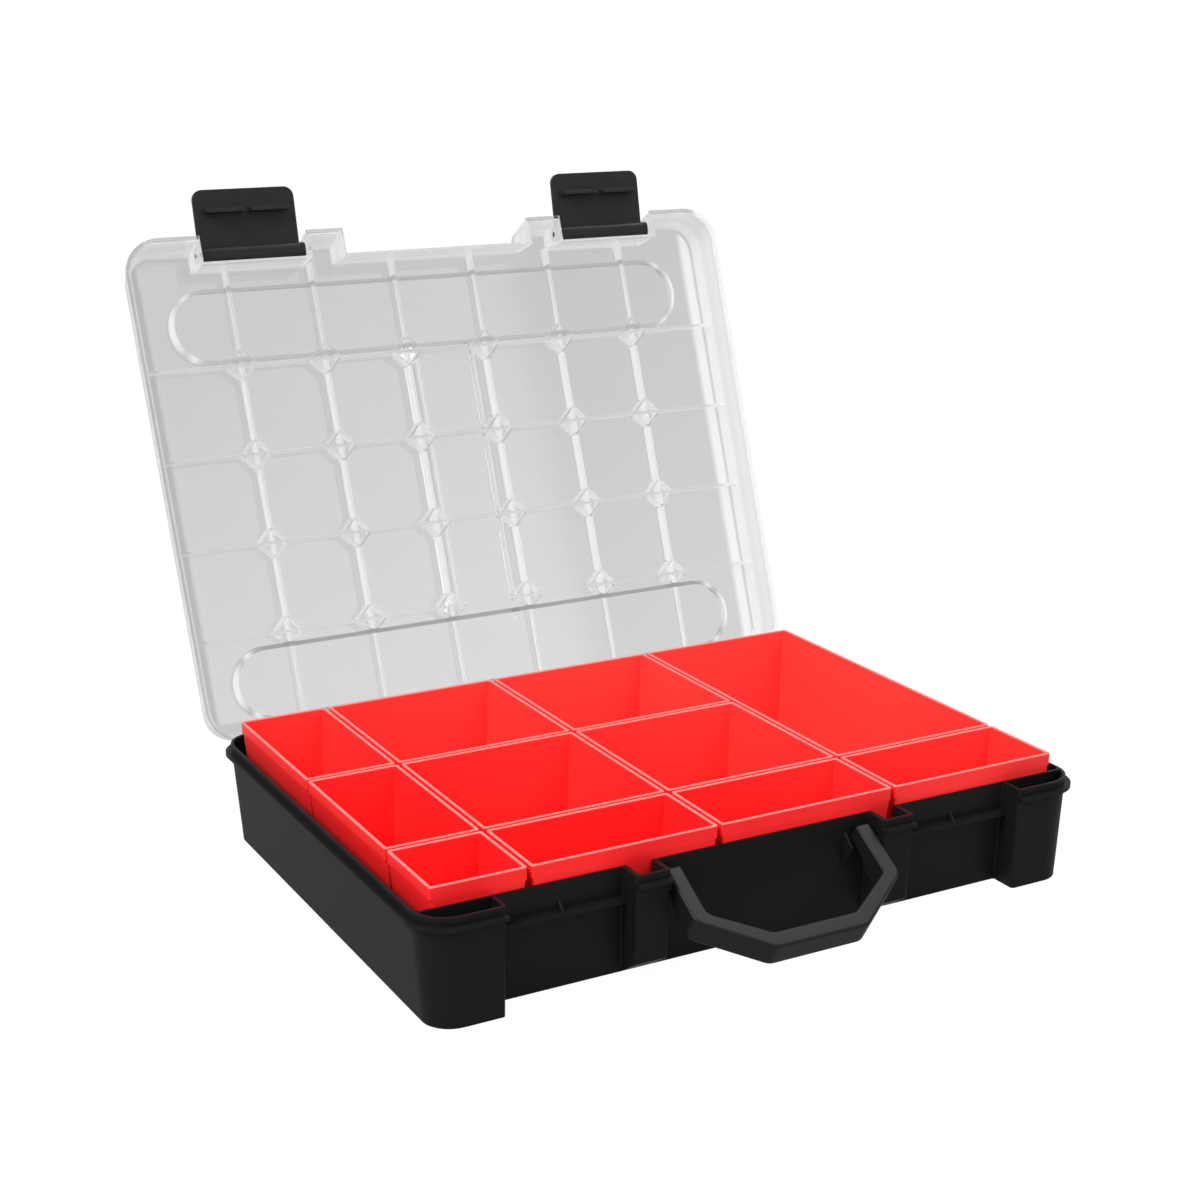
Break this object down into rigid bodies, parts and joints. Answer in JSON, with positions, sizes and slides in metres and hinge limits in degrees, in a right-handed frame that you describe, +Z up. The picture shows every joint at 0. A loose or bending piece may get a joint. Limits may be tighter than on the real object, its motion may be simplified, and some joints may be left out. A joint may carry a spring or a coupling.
{
  "type": "organizer case",
  "caption": "Open small-parts case: black tray with lift-out red bins, hinged clear ribbed lid, swinging front latches and a fold-down carrying handle.",
  "frame": {"origin": "on the table under the middle of the bin grid, on the tray's underside", "axes": "+X to the right seen from the handle side, +Y from the handle to the hinge, +Z up"},
  "size_m": [0.4006, 0.4683, 0.3543],
  "materials": {
    "tray_black": "satin moulded plastic",
    "lid_clear": "clear moulded plastic",
    "handle_black": "satin moulded plastic",
    "latch_black": "satin moulded plastic",
    "pin_steel": "plain drawn wire",
    "bin_red": "satin moulded plastic"
  },
  "bodies": {
    "tray": {"base_tray": "tray_black", "hinge_pin_left": "pin_steel", "hinge_pin_right": "pin_steel"},
    "lid": {"lid": "lid_clear"},
    "latch_left": {"latch_left": "latch_black"},
    "latch_right": {"latch_right": "latch_black"},
    "handle": {"handle": "handle_black"},
    "bin_front_left_small": {"bin_front_left_small": "bin_red"},
    "bin_front_left_wide": {"bin_front_left_wide": "bin_red"},
    "bin_front_middle_wide": {"bin_front_middle_wide": "bin_red"},
    "bin_front_right_wide": {"bin_front_right_wide": "bin_red"},
    "bin_middle_left_deep": {"bin_middle_left_deep": "bin_red"},
    "bin_middle_left_square": {"bin_middle_left_square": "bin_red"},
    "bin_middle_centre_square": {"bin_middle_centre_square": "bin_red"},
    "bin_rear_left_deep": {"bin_rear_left_deep": "bin_red"},
    "bin_rear_left_square": {"bin_rear_left_square": "bin_red"},
    "bin_rear_centre_square": {"bin_rear_centre_square": "bin_red"},
    "bin_right_large": {"bin_right_large": "bin_red"}
  },
  "joints": [
    {"name": "lid_hinge", "type": "hinge", "parent": "tray", "child": "lid", "pos_m": [0, 0.1477, 0.05], "axis": [-1, 0, 0], "range_deg": [-110.2, 0]},
    {"name": "latch_left_pivot", "type": "hinge", "parent": "lid", "child": "latch_left", "pos_m": [0, 0.26174, 0.31737], "axis": [-1, 0, 0], "range_deg": [-81, 0]},
    {"name": "latch_right_pivot", "type": "hinge", "parent": "lid", "child": "latch_right", "pos_m": [0, 0.26174, 0.31737], "axis": [-1, 0, 0], "range_deg": [-81, 0]},
    {"name": "handle_pivot", "type": "hinge", "parent": "tray", "child": "handle", "pos_m": [0, -0.144, 0.047], "axis": [-1, 0, 0], "range_deg": [0, 100]},
    {"name": "bin_front_left_small_lift", "type": "slide", "parent": "tray", "child": "bin_front_left_small", "axis": [0, 0, 1], "range_m": [0, 0.08]},
    {"name": "bin_front_left_wide_lift", "type": "slide", "parent": "tray", "child": "bin_front_left_wide", "axis": [0, 0, 1], "range_m": [0, 0.08]},
    {"name": "bin_front_middle_wide_lift", "type": "slide", "parent": "tray", "child": "bin_front_middle_wide", "axis": [0, 0, 1], "range_m": [0, 0.08]},
    {"name": "bin_front_right_wide_lift", "type": "slide", "parent": "tray", "child": "bin_front_right_wide", "axis": [0, 0, 1], "range_m": [0, 0.08]},
    {"name": "bin_middle_left_deep_lift", "type": "slide", "parent": "tray", "child": "bin_middle_left_deep", "axis": [0, 0, 1], "range_m": [0, 0.08]},
    {"name": "bin_middle_left_square_lift", "type": "slide", "parent": "tray", "child": "bin_middle_left_square", "axis": [0, 0, 1], "range_m": [0, 0.08]},
    {"name": "bin_middle_centre_square_lift", "type": "slide", "parent": "tray", "child": "bin_middle_centre_square", "axis": [0, 0, 1], "range_m": [0, 0.08]},
    {"name": "bin_rear_left_deep_lift", "type": "slide", "parent": "tray", "child": "bin_rear_left_deep", "axis": [0, 0, 1], "range_m": [0, 0.08]},
    {"name": "bin_rear_left_square_lift", "type": "slide", "parent": "tray", "child": "bin_rear_left_square", "axis": [0, 0, 1], "range_m": [0, 0.08]},
    {"name": "bin_rear_centre_square_lift", "type": "slide", "parent": "tray", "child": "bin_rear_centre_square", "axis": [0, 0, 1], "range_m": [0, 0.08]},
    {"name": "bin_right_large_lift", "type": "slide", "parent": "tray", "child": "bin_right_large", "axis": [0, 0, 1], "range_m": [0, 0.08]}
  ]
}
